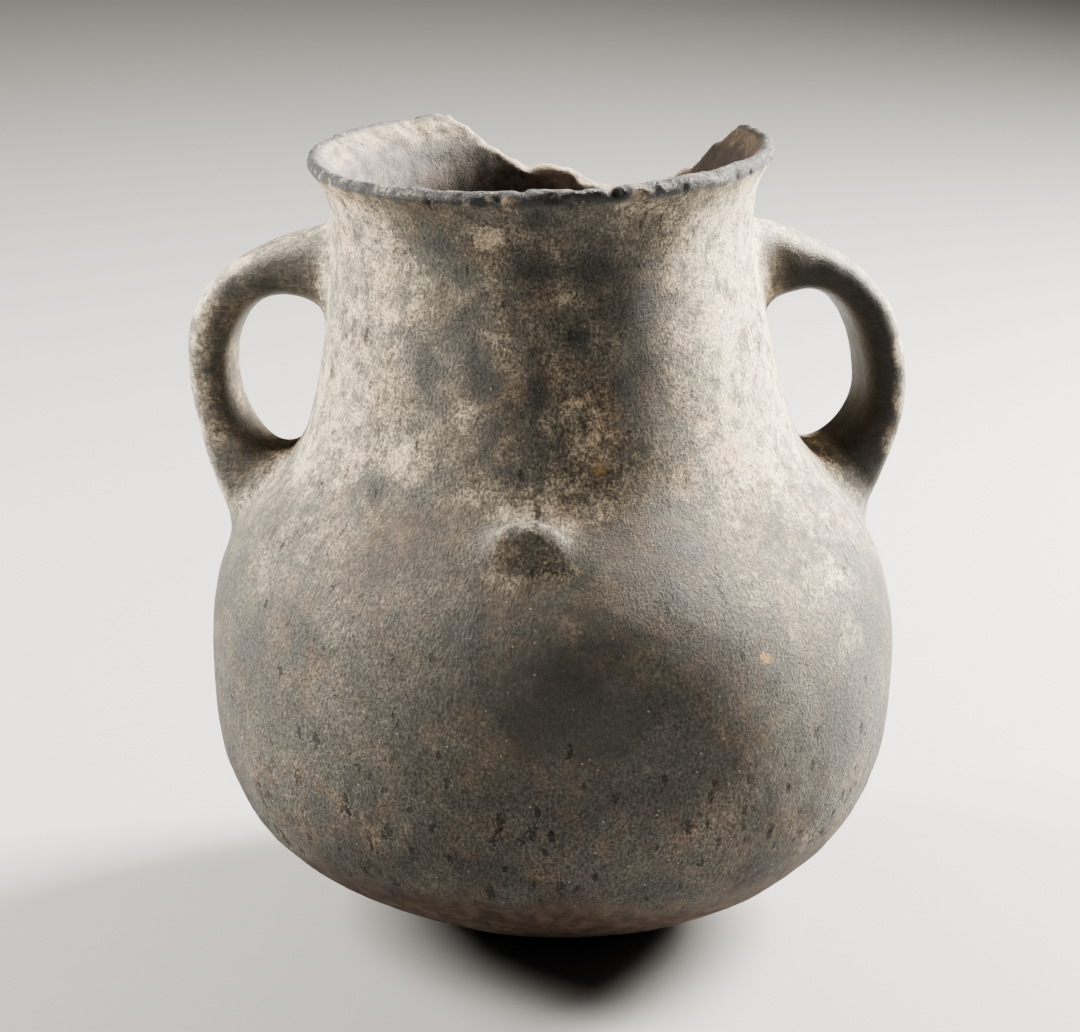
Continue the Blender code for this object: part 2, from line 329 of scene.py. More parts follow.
def front_stroke(points, x, z, length, turn, width):
    """A narrow straight mark on the front, from 1 along its middle to 0 at its edges."""
    along = (points[:, 0] - x) * math.cos(turn) + (points[:, 2] - z) * math.sin(turn)
    across = (points[:, 2] - z) * math.cos(turn) - (points[:, 0] - x) * math.sin(turn)
    within = 1.0 - smooth_step(np.abs(along), length * SCRATCH_CORE, length * 0.5)
    return within * (1.0 - smooth_step(np.abs(across), 0.0, width)) * (points[:, 1] < 0.0)


def pits(points, region, random):
    """Small lengthwise hollows low on the body, where grit has fallen out."""
    depth = np.zeros(len(points))
    low = np.flatnonzero((region["height"] < PIT_TOP) & (region["inside"] < MOSTLY_INSIDE))
    for centre in points[random.choice(low, PIT_COUNT)]:
        length = random.uniform(*PIT_LENGTH)
        width = random.uniform(*PIT_WIDTH)
        near = np.flatnonzero(np.abs(points[:, 2] - centre[2]) < PIT_REACH)
        gap = points[near] - centre
        lean = random.uniform(*PIT_LEAN)
        upwards = gap[:, 2] + lean * gap[:, 0]
        sideways = np.hypot(gap[:, 0] - lean * gap[:, 2], gap[:, 1])
        away = np.hypot(upwards / length, sideways / width)
        depth[near] += random.uniform(*PIT_DEPTH) * (1.0 - smooth_step(away, *PIT_WALL))
    return depth


def chips(points, region, random):
    """Small chips knocked off the lip's outer edge."""
    depth = np.zeros(len(points))
    edge = np.flatnonzero(region["lip"] > MOSTLY_LIP)
    for centre in points[random.choice(edge, CHIP_COUNT)]:
        reach = random.uniform(*CHIP_REACH)
        away = np.linalg.norm(points - centre, axis=1)
        depth += random.uniform(*CHIP_DEPTH) * (1.0 - smooth_step(away, CHIP_CORE * reach, reach))
    return depth


def relief(points, region):
    """How far each point stands out from the smooth surface, in metres."""
    random = np.random.default_rng(SEED)
    outside = 1.0 - region["inside"]
    height = region["height"]
    under_lip = smooth_step(height, *UNDER_LIP)
    out = uneven(points, WAVES)
    out += uneven(points, DENTS)
    out += uneven(points * UPRIGHT, NECK_STROKES) * smooth_step(height, *NECK_START) * (1.0 - under_lip)
    out += uneven(points * LEVEL, LIP_STROKES) * under_lip * outside
    out += uneven(points, LOW_LUMPS) * (1.0 - smooth_step(height, *LOW_END))
    out += uneven(points, GRIT) * outside
    out += uneven(points, LIP_DENTS) * region["lip"]
    out += uneven(points, CRUMBS) * region["broken"]
    out += uneven(points, LUG_LUMPS) * region["lug"]
    for *shape, depth in SCRATCHES:
        out -= depth * front_stroke(points, *shape) * outside
    x, z, ring, width, depth = RING_PIT
    away = np.hypot(points[:, 0] - x, points[:, 2] - z)
    out -= depth * (1.0 - smooth_step(np.abs(away - ring), 0.0, width)) * (points[:, 1] < 0.0) * outside
    out -= pits(points, region, random) * outside
    out -= chips(points, region, random)
    return out


def in_box(points):
    """Keep every point just inside the solid's box."""
    return np.clip(points, np.array(cad_low) + BOX_MARGIN, np.array(cad_high) - BOX_MARGIN)


def thin_out(piece):
    """Bring the mesh under the limit, with the fewest faces where it is plainest."""
    triangles = sum(len(face.vertices) - 2 for face in piece.data.polygons)
    fewer = piece.modifiers.new("fewer", "DECIMATE")
    fewer.ratio = min(1.0, TRIANGLES / triangles)
    fewer.use_collapse_triangulate = True
    apply_modifiers(piece)


# Broad areas of colour

# Patches of the deposit, those on the handles' outer edges partly painted highlight: column and row in the
# photograph, radius in millimetres, tallness, and strength
NECK_PATCHES = (
    (375, 222, 10, 1.0, 0.30), (398, 296, 11, 1.2, 0.26), (352, 250, 4, 3.0, 0.20),
    (345, 400, 9, 2.0, 0.14), (410, 458, 8, 1.0, 0.34), (300, 468, 8, 1.0, 0.30),
    (466, 426, 6, 1.4, 0.22), (490, 238, 5, 1.0, 0.48), (500, 345, 5, 2.0, 0.24),
    (566, 296, 5, 0.5, 0.24), (556, 262, 2, 1.6, 0.30), (565, 375, 6, 2.2, 0.20),
    (578, 430, 10, 1.4, 0.20), (585, 478, 14, 0.8, 0.28), (548, 424, 4, 1.6, 0.24),
    (730, 205, 10, 0.8, 0.36), (692, 250, 8, 1.2, 0.18), (722, 345, 7, 1.8, 0.24),
    (738, 440, 11, 1.4, 0.22), (770, 470, 8, 1.0, 0.18), (640, 210, 8, 0.5, 0.16),
    (450, 262, 9, 1.2, -0.10), (460, 330, 9, 2.0, -0.10), (425, 372, 6, 1.8, -0.12),
    (370, 486, 8, 0.9, -0.24), (345, 508, 8, 0.8, -0.10), (540, 222, 6, 0.8, -0.16),
    (535, 268, 9, 0.7, -0.14), (598, 266, 10, 0.9, -0.16), (548, 390, 8, 1.2, -0.14),
    (578, 342, 5, 1.0, -0.12), (480, 450, 8, 1.4, -0.12), (490, 385, 7, 1.5, -0.12),
    (655, 300, 6, 2.4, -0.10), (640, 390, 9, 1.8, -0.08), (680, 430, 8, 2.0, -0.08),
    (430, 245, 8, 0.7, -0.10), (345, 330, 5, 2.4, -0.16), (560, 503, 15, 0.35, 0.18),
    (490, 500, 12, 0.4, 0.15), (590, 420, 9, 1.6, 0.08), (612, 340, 8, 1.6, 0.05),
)
BODY_PATCHES = (
    (345, 545, 11, 1.0, 0.10), (338, 622, 8, 1.2, 0.12), (262, 565, 14, 1.0, 0.06),
    (830, 595, 18, 1.2, 0.16), (855, 640, 9, 1.0, 0.10), (800, 505, 13, 0.9, 0.10),
    (556, 572, 9, 0.6, 0.22), (505, 575, 8, 0.6, 0.12), (330, 690, 12, 1.0, 0.05),
    (645, 662, 8, 1.0, 0.06), (465, 735, 12, 1.2, 0.05), (385, 838, 10, 0.8, 0.10),
    (716, 818, 11, 0.9, 0.09), (560, 897, 18, 0.5, 0.26), (470, 905, 12, 0.5, 0.18),
    (430, 893, 10, 0.5, 0.06), (805, 842, 7, 0.9, 0.10), (565, 632, 6, 1.2, 0.08),
    (430, 880, 9, 0.6, 0.06), (700, 850, 10, 0.7, 0.05), (478, 640, 8, 1.4, -0.05),
    (575, 720, 22, 0.9, -0.05), (488, 872, 9, 0.9, -0.07), (655, 890, 12, 0.6, -0.07),
    (832, 745, 14, 1.2, -0.05), (245, 640, 13, 2.0, -0.05), (690, 525, 13, 0.8, -0.06),
    (665, 590, 18, 0.9, -0.04), (590, 545, 5, 1.4, -0.08), (740, 880, 14, 0.5, -0.07),
)
# Along the handles' outer edges: partly pale wear, partly painted highlight
HANDLE_PALE_AND_HIGHLIGHT_PATCHES = (
    (224, 262, 5, 1.0, 0.30), (204, 300, 5, 1.6, 0.40), (198, 345, 5, 1.8, 0.42), (204, 392, 5, 1.6, 0.34),
    (217, 430, 4, 1.5, 0.22), (868, 272, 3, 1.2, 0.50), (890, 305, 3, 1.6, 0.50), (899, 350, 3, 2.2, 0.55),
    (898, 400, 3, 2.2, 0.45), (888, 440, 3, 1.8, 0.30),
)

# Single spots, given in the same way, with no strength
LUG_FACE = (526, 544, 14.5, 0.52)
LUG_HALO = (534, 524, 19, 0.36)
# Painted highlights on the lip, laid on in its pale dust colour
LIP_GLINTS = ((392, 188, 12, 0.25), (345, 168, 6, 0.4), (670, 187, 4, 0.4), (722, 177, 4, 0.5))
CLUMPS = (
    (640, 196, 4.0, 1.0), (511, 203, 2.6, 1.0), (610, 186, 2.4, 0.7), (466, 205, 1.6, 0.8),
    (700, 190, 1.8, 0.8),
)
ORANGE_SPOTS = ((768, 660, 1.9), (600, 475, 3.0), (764, 655, 1.4))
# Spots with more pale specks; the two on the right belly are painted glints
WHITE_SPECKS_AND_GLINTS = ((615, 640, 3.2), (590, 765, 3.6), (780, 622, 1.6), (830, 655, 3.0), (400, 745, 5.0))
BURNISHED = (570, 690, 34)

# Edges of the patches: raggedness as noise, and the share of the radius from full to nothing
RAGGED_EDGES = (0.28, 0.0055, 71, 3)
PATCH_EDGE = (0.30, 1.20)
MILLIMETRE = 0.001
TURNED_AWAY = -0.05
OUT_OF_SIGHT = 1e4

# Paleness of the walls, from 0, charcoal, to 1, cream, and the ranges over which it changes; the paler flanks
# and shoulder sides, most of all on the right, are partly pale deposit and partly painted sheen from the side
# lamps
BODY_TONE = 0.040
SHOULDER_TONE = 0.17
SHOULDER_SHARES = (0.3, 0.8, 0.6)
NECK_TONE = 0.045
FLANK_TONE_AND_SHEEN = 0.27
RIGHT_TONE_AND_SHEEN_SHARE = 0.5
FLANK_MIDDLE = -0.03
FLANK_RANGE = (0.45, 0.85)
RIGHT_RANGE = (0.40, 0.75)
NECK_RANGE = (CREASE_HEIGHT - 0.014, CREASE_HEIGHT + 0.010)
SHOULDER_RANGE = (BELLY_HEIGHT + 0.018, CREASE_HEIGHT - 0.008)
WAVER = (0.005, 0.011, 39, 2)

# Clouds in the paleness: strength, more of it on the neck, lump size in metres and seed
TONE_CLOUDS = (
    (0.035, 0.05, 0.024, 41),
    (0.030, 0.03, 0.008, 45),
)

# Paleness of the handles: base, tops that are worn and also painted lighter where they face up and out
# towards the lamps, roots, and painted highlights on the outer edges, with the ranges of each
STRAP_TONE = 0.03
WORN_AND_LIT_TONE = 0.28
WORN_AND_LIT_UP = 0.75
WORN_AND_LIT_OUT = 0.65
WORN_AND_LIT_RANGE = (0.45, 0.95)
WORN_AND_LIT_LEVELS = (CREASE_HEIGHT + 0.01, NECK_HEIGHT - 0.015)
ROOT_TONE = 0.08
ROOT_RANGE = (0.006, 0.020)
EDGE_HIGHLIGHT_TONE = 0.50
EDGE_HIGHLIGHT_BASE = 0.7
EDGE_HIGHLIGHT_GAPS = (0.6, 0.005, 53, 1)
LEFT_EDGE_HIGHLIGHT = (0.40, 0.80)
RIGHT_EDGE_HIGHLIGHT = (0.80, 0.97)
STRAP_MOTTLE = (0.08, 0.006, 51, 2)
HANDLE_REACH = (0.05, 0.07)

# Paleness of the lug's knocked-off face and of the arc over it
LUG_TONE = 0.12
HALO_TONE = 0.40
HALO_RANGE = (0.35, 0.60)

# Where painted shade darkens the right handle's faces turned away from the lamps, and the inside of the rim
# beside the break
PAINTED_SHADE_UP = 0.75
PAINTED_SHADE_OUT = 0.85
PAINTED_SHADE_FACING = (0.35, 0.80)
PAINTED_SHADE_AWAY = (0.003, 0.010)
PAINTED_SHADE_RIM_SIDE = (0.02, 0.045)
PAINTED_SHADE_RIM_LEVELS = (NECK_HEIGHT, NECK_HEIGHT + 0.012)
PAINTED_SHADE_RIM_BACK = (-0.02, 0.01)

# Where the clay is brown, cool and burnished, and where painted shade darkens the inside deeper down and
# towards the right
LOW_RANGE = (BELLY_HEIGHT * 0.70, BELLY_HEIGHT * 1.30)
EARTH_BASE = 0.25
EARTH_LOW = 0.25
EARTH_CLOUDS = (0.50, 0.013, 61, 2)
COOL_BASE = 0.5
COOL_CLOUDS = (0.9, 0.014, 65, 2)
SMOOTH_HANDLE = 0.55
SMOOTH_INSIDE = 0.70
INNER_SHADE_DEPTHS = (0.004, 0.055)
INNER_SHADE_SIDE = (-0.35, 0.25)

# The potter's strokes: radius that they are measured at, and their pitch down the jar
STROKE_RADIUS = 0.085
STROKE_PITCH = 1.25


def clipped(values):
    """The values kept from 0 to 1."""
    return np.clip(values, 0.0, 1.0)


def seen_at(points):
    """Column and row of each point in the photograph's frame."""
    away = points - np.array(CAMERA_PLACE)
    forward = np.array((0.0, math.cos(CAMERA_DOWN), -math.sin(CAMERA_DOWN)))
    upward = np.array((0.0, math.sin(CAMERA_DOWN), math.cos(CAMERA_DOWN)))
    scale = PHOTO_WIDTH * CAMERA_LENS / CAMERA_SENSOR
    depth = away @ forward
    return PHOTO_WIDTH / 2 + scale * away[:, 0] / depth, PHOTO_HEIGHT / 2 - scale * (away @ upward) / depth


class Front:
    """Finds places on the front by where they show in the photograph."""

    def __init__(self, points, normals, region):
        self.points = points
        self.columns, self.rows = seen_at(points)
        self.hidden = (normals[:, 1] > TURNED_AWAY) | (region["inside"] > MOSTLY_INSIDE)
        self.ragged = uneven(points, RAGGED_EDGES)
        # pale patches on the handles' outer edges, partly painted highlight
        self.worn_and_highlit_edges = self.summed_patches(HANDLE_PALE_AND_HIGHLIGHT_PATCHES)

    def place(self, column, row):
        """The point that shows nearest to a column and row."""
        gap = np.hypot(self.columns - column, self.rows - row) + OUT_OF_SIGHT * self.hidden
        return self.points[np.argmin(gap)]

    def patch(self, column, row, radius, tall=1.0):
        """A patch with a ragged edge, its radius in millimetres, from 1 in the middle to 0 past the edge."""
        gap = (self.points - self.place(column, row)) * (1.0, 1.0, 1.0 / tall)
        away = np.linalg.norm(gap, axis=1) / (radius * MILLIMETRE) + self.ragged
        return 1.0 - smooth_step(away, *PATCH_EDGE)

    def summed_patches(self, patches):
        """All the patches together, each with its strength."""
        return sum(self.patch(*spot) * strength for *spot, strength in patches)

    def spots(self, spots):
        """All the spots together, from 0 to 1."""
        return clipped(sum(self.patch(*spot) for spot in spots))


def wall_tone(points, region):
    """Paleness of the walls: dark on the body, paler on the shoulder, the neck and its flanks, where it is
    partly painted sheen from the side lamps, most of all on the right.
    """
    height = region["height"]
    waver = uneven(points, WAVER)
    neck = smooth_step(height + waver, *NECK_RANGE)
    shoulder = smooth_step(height + 2.0 * waver, *SHOULDER_RANGE)
    # flanks and right side paler: partly deposit, partly painted sheen where the side lamps light them
    flank = smooth_step(np.abs(region["side"] - FLANK_MIDDLE), *FLANK_RANGE)
    right = smooth_step(region["side"], *RIGHT_RANGE)
    front_share, flank_share, right_share = SHOULDER_SHARES
    tone = BODY_TONE + SHOULDER_TONE * shoulder * (front_share + flank_share * flank + right_share * right)
    tone += (NECK_TONE + FLANK_TONE_AND_SHEEN * (flank + RIGHT_TONE_AND_SHEEN_SHARE * right)) * neck
    for strength, more_on_neck, size, seed in TONE_CLOUDS:
        tone += (strength + more_on_neck * neck) * layered(points, size, seed)
    return tone


def strap_tone(points, normals, region):
    """Paleness of the handles: dark, with tops that are worn and painted lighter where they face the lamps,
    dusty roots, and painted highlights along the outer edges.
    """
    # tops turned up and out, towards the lamps, paler: partly wear, partly painted light
    outwards = normals[:, 2] * WORN_AND_LIT_UP + normals[:, 0] * np.sign(points[:, 0]) * WORN_AND_LIT_OUT
    worn_and_lit = smooth_step(outwards, *WORN_AND_LIT_RANGE) * smooth_step(region["height"], *WORN_AND_LIT_LEVELS)
    root = 1.0 - smooth_step(region["away"], *ROOT_RANGE)
    left = smooth_step(-points[:, 0], *HANDLE_REACH)
    # painted highlight along the outer edges, on faces turned towards the side lamps
    edge = smooth_step(-normals[:, 0], *LEFT_EDGE_HIGHLIGHT) * left + smooth_step(normals[:, 0], *RIGHT_EDGE_HIGHLIGHT)
    edge *= EDGE_HIGHLIGHT_BASE + uneven(points, EDGE_HIGHLIGHT_GAPS)
    tone = STRAP_TONE + WORN_AND_LIT_TONE * worn_and_lit + ROOT_TONE * root + EDGE_HIGHLIGHT_TONE * edge
    return tone + uneven(points, STRAP_MOTTLE)


def tone_of(points, normals, region, front):
    """How pale the clay is, from 0, charcoal, to 1, cream, painted sheen and painted highlights included."""
    tone = wall_tone(points, region) + front.summed_patches(NECK_PATCHES + BODY_PATCHES)
    strap = strap_tone(points, normals, region)
    tone += (strap - tone) * region["handle"] + front.worn_and_highlit_edges
    face = front.patch(*LUG_FACE)
    halo = front.patch(*LUG_HALO) * smooth_step(normals[:, 2], *HALO_RANGE)
    tone += HALO_TONE * halo * (1.0 - face) - (tone - LUG_TONE) * face
    return clipped(tone)


def painted_shade_of(points, normals, region, front):
    """Painted shade: the front and inner faces of the right handle, turned away from the lamps, and the
    inside of the rim by the break.
    """
    outwards = normals[:, 2] * PAINTED_SHADE_UP + normals[:, 0] * PAINTED_SHADE_OUT
    handle = smooth_step(points[:, 0], *HANDLE_REACH) * region["handle"]
    handle *= 1.0 - smooth_step(outwards, *PAINTED_SHADE_FACING)
    handle *= smooth_step(region["away"], *PAINTED_SHADE_AWAY) * (1.0 - clipped(2.0 * front.worn_and_highlit_edges))
    rim = smooth_step(points[:, 0], *PAINTED_SHADE_RIM_SIDE) * smooth_step(points[:, 2], *PAINTED_SHADE_RIM_LEVELS)
    rim *= region["inside"] * smooth_step(points[:, 1], *PAINTED_SHADE_RIM_BACK)
    return clipped(handle + rim)


def drawn_out(region):
    """Places measured along the potter's strokes, which run down the jar."""
    angle = region["angle"]
    along = region["height"] * STROKE_PITCH
    return np.column_stack((np.cos(angle) * STROKE_RADIUS, np.sin(angle) * STROKE_RADIUS, along))


def areas_of(points, normals, region):
    """The broad areas that the finish reads, by name, each from 0 to 1."""
    front = Front(points, normals, region)
    low = 1.0 - smooth_step(region["height"], *LOW_RANGE)
    # painted shade inside: stronger deeper down and towards the right
    depth = smooth_step(RIM_HEIGHT - region["height"], *INNER_SHADE_DEPTHS)
    smooth = np.maximum(front.patch(*BURNISHED), SMOOTH_HANDLE * region["handle"])
    return {
        "tone": tone_of(points, normals, region, front),
        "inside": region["inside"],
        "depth": np.maximum(depth, smooth_step(region["side"], *INNER_SHADE_SIDE)),
        "lip": region["lip"],
        "broken": region["broken"],
        "low": low,
        "earth": clipped(EARTH_BASE + EARTH_LOW * low + uneven(points, EARTH_CLOUDS)),
        "cool": clipped(COOL_BASE + uneven(points, COOL_CLOUDS)),
        "smooth": clipped(np.maximum(smooth, SMOOTH_INSIDE * region["inside"])),
        "orange": front.spots(ORANGE_SPOTS),
        "specks": front.spots(WHITE_SPECKS_AND_GLINTS),
        "strap": region["handle"],
        "glint": front.spots(LIP_GLINTS),
        "clump": front.spots(CLUMPS),
        "painted_shade": painted_shade_of(points, normals, region, front),
    }


def paint(mesh, line):
    """Store the broad areas and the strokes' directions on the mesh for the finish to read."""
    points = coordinates(mesh)
    normals = directions(mesh)
    region = regions(points, normals, line)
    for name, values in areas_of(points, normals, region).items():
        mesh.attributes.new(name, "FLOAT", "POINT").data.foreach_set("value", values.astype(np.float32))
    drawn = drawn_out(region).astype(np.float32)
    mesh.attributes.new("drawn", "FLOAT_VECTOR", "POINT").data.foreach_set("vector", drawn.ravel())


def make_jar():
    """The jar's worn surface, which stands for the solid."""
    piece = fine_copy(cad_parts["jar"], "jar_surface")
    mesh = piece.data
    points = coordinates(mesh)
    line = outer_line(points)
    region = regions(points, directions(mesh), line)
    points = smoothed(mesh, points, softness_of(region))
    move(mesh, points)
    normals = directions(mesh)
    region = regions(points, normals, line)
    move(mesh, in_box(points + normals * relief(points, region)[:, None]))
    thin_out(piece)
    paint(piece.data, line)
    piece.data.shade_smooth()
    piece.data.materials.clear()
    piece.data.materials.append(clay_finish())
    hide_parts("jar")
    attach(piece, "root")


# Finish of the clay

CHARCOAL = (0.046, 0.0445, 0.041, 1.0)
CREAM = (0.43, 0.365, 0.265, 1.0)
BROWN_TINT = (1.15, 0.96, 0.84, 1.0)
COOL_TINT = (0.965, 0.99, 0.985, 1.0)
ORANGE = (0.40, 0.23, 0.075, 1.0)
INNER_GREY = (0.082, 0.075, 0.070, 1.0)
INNER_SHADED_BROWN = (0.045, 0.030, 0.022, 1.0)
LIP_DARK = (0.026, 0.028, 0.032, 1.0)
LIP_DUST_AND_GLINT = (0.21, 0.185, 0.15, 1.0)
CRUMB_DARK = (0.11, 0.085, 0.062, 1.0)
CRUMB = (0.36, 0.29, 0.215, 1.0)
SPECK = (0.50, 0.45, 0.37, 1.0)
PIT_DARK = (0.010, 0.008, 0.007, 1.0)
PAINTED_SHADE_TINT = (0.14, 0.13, 0.12, 1.0)
SPECULAR = 0.13

# Noises of the finish: lump size in metres, layers, roughness and warp
FIBRE = (0.00065, 4.0, 0.70)
STREAK = (0.0016, 3.0, 0.6)
GRAIN = (0.0008, 4.0, 0.72)
SPECKLE = (0.0016, 6.0, 0.74)
MOTTLE = (0.0050, 6.0, 0.72)
CLOUD = (0.0120, 3.0, 0.60, 0.6)
FIBRE_STRETCH = (1.0, 1.0, 0.36)
STREAK_STRETCH = (1.0, 1.0, 0.10)

# Fades: the value that each goes from and to, and what it gives at both ends, or else 0 and 1
ROUGH_FADE = (0.0, 1.0, 1.0, 0.35)
SPECKLE_FADE = (0.42, 0.58, -0.90, 1.0)
SPECKLE_ON_DARK = (0.08, 0.30, 0.30, 0.60)
SPECKLE_ON_PALE = (0.34, 0.55, 1.0, 0.45)
MOTTLE_FADE = (0.40, 0.60, -0.65, 0.65)
MOTTLE_ON_DARK = (0.06, 0.24, 0.55, 1.0)
CLOUD_FADE = (0.36, 0.64, 0.60, 1.40)
STREAK_FADE = (0.35, 0.65, 0.90, 1.10)
BROWN_CLOUD = (0.46, 0.58)
COOL_ON_DARK = (0.10, 0.45, 1.0, 0.35)
FIBRE_SHADE = (0.36, 0.64, 0.60, 1.42)
GRAIN_SHADE = (0.38, 0.62, 0.60, 1.48)
ORANGE_GRAIN = (0.40, 0.52)
INNER_MOTTLE = (0.38, 0.62, 0.55, 1.65)
DUST_AND_GLINT_MOTTLE = (0.54, 0.62, 0.08, 0.9)
DUST_AND_GLINT_SPECKLE = (0.46, 0.54)
CRUMB_GRAIN = (0.38, 0.62)
CLUMP_SPECKLE = (0.42, 0.58)
PAINTED_GLINT_SHARE = 0.14

# Pale specks of grit
SPECK_SPACING = 0.0016
SPECK_EDGE = (0.12, 0.24, 1.0, 0.0)
SPECK_CHANCE = (0.84, 0.88)
MORE_SPECKS = 0.45
SPECK_STRENGTH = 0.55

# Dark pits and cracks
PIT_SPACING = 0.0042
PIT_STRETCH = (1.0, 1.0, 0.40)
PIT_FINE_EDGE = (0.3, 0.7, -0.10, 0.10)
PIT_BROAD_EDGE = (0.35, 0.65, -0.10, 0.12)
PIT_SIZE = (0.10, 0.20, 1.0, 0.0)
PIT_CHANCE = (0.42, 0.50)
FEWER_PITS_HIGH = (0.0, 1.0, -0.26, 0.0)
FEWER_PITS_SMOOTH = (0.0, 0.5, 1.0, 0.1)
FEWER_PITS_INSIDE = (0.0, 1.0, 1.0, 0.2)
CRACK_SPACING = 0.0070
CRACK_STRETCH = (1.0, 1.0, 0.34)
CRACK_EDGE = (0.3, 0.7, -0.22, 0.22)
CRACK_SIZE = (0.10, 0.16, 1.0, 0.0)
CRACK_CHANCE = (1.10, 1.20)
PIT_STRENGTH = 0.62

# Roughness: its fade with the deposit, the change in each area, the lip's dull spots and the grain's change
DULLNESS = (0.0, 0.4, 0.70, 0.90)
AREA_DULLNESS = (("low", 0.10), ("strap", -0.28), ("lip", -0.46), ("broken", 0.20))
LIP_DULLNESS = (0.74, 0.86, -0.08, 0.50)
LIP_MOTTLE = 0.6
GRAIN_DULLNESS = (0.3, 0.7, -0.08, 0.08)

# Fine unevenness: the height of each noise as a share of the distance in metres
FIBRE_HEIGHT = 0.26
GRAIN_HEIGHT = 0.34
SPECKLE_HEIGHT = 0.50
MOTTLE_HEIGHT = 0.42
PIT_HEIGHT = -0.45
BUMP_DISTANCE = 0.001


class Nodes:
    """Short ways to add shader nodes to a material."""

    def __init__(self, material):
        self.tree = material.node_tree

    def add(self, kind, inputs, **settings):
        """Add a node. An input is a number or colour, or another node's output."""
        made = self.tree.nodes.new(kind)
        for name, value in settings.items():
            setattr(made, name, value)
        for key, value in inputs.items():
            if isinstance(value, bpy.types.NodeSocket):
                self.tree.links.new(value, made.inputs[key])
            else:
                made.inputs[key].default_value = value
        return made

    def area(self, name, output="Fac"):
        """A broad area stored on the mesh."""
        return self.add("ShaderNodeAttribute", {}, attribute_name=name).outputs[output]

    def maths(self, operation, one, other):
        """One value worked on with another."""
        return self.add("ShaderNodeMath", {0: one, 1: other}, operation=operation).outputs[0]

    def sum(self, one, other):
        """One value plus another."""
        return self.maths("ADD", one, other)

    def product(self, one, other):
        """One value times another."""
        return self.maths("MULTIPLY", one, other)

    def fade(self, value, low, high, start=0.0, end=1.0):
        """Go straight from start to end as the value goes from low to high."""
        inputs = {"Value": value, "From Min": low, "From Max": high, "To Min": start, "To Max": end}
        return self.add("ShaderNodeMapRange", inputs).outputs[0]

    def noise(self, place, size, layers, roughness, warp=0.0):
        """Noise with lumps of about that size in metres."""
        inputs = {
            "Vector": place,
            "Scale": 1.0 / size,
            "Detail": layers,
            "Roughness": roughness,
            "Distortion": warp,
        }
        return self.add("ShaderNodeTexNoise", inputs).outputs[0]

    def cells(self, place, size):
        """Distance to the nearest of scattered points, and a random colour for each."""
        made = self.add("ShaderNodeTexVoronoi", {"Vector": place, "Scale": 1.0 / size})
        return made.outputs["Distance"], made.outputs["Color"]

    def blend(self, share, one, other, kind="MIX"):
        """Go from one colour to the other."""
        made = self.add("ShaderNodeMix", {0: share, 6: one, 7: other}, data_type="RGBA", blend_type=kind)
        return made.outputs[2]

    def tinted(self, share, colour, tint):
        """Go from a colour to the same colour times a tint."""
        return self.blend(share, colour, self.blend(1.0, colour, tint, "MULTIPLY"))

    def scaled(self, place, scale):
        """The same place, measured with another scale along each axis."""
        return self.add("ShaderNodeMapping", {"Vector": place, "Scale": scale}).outputs[0]


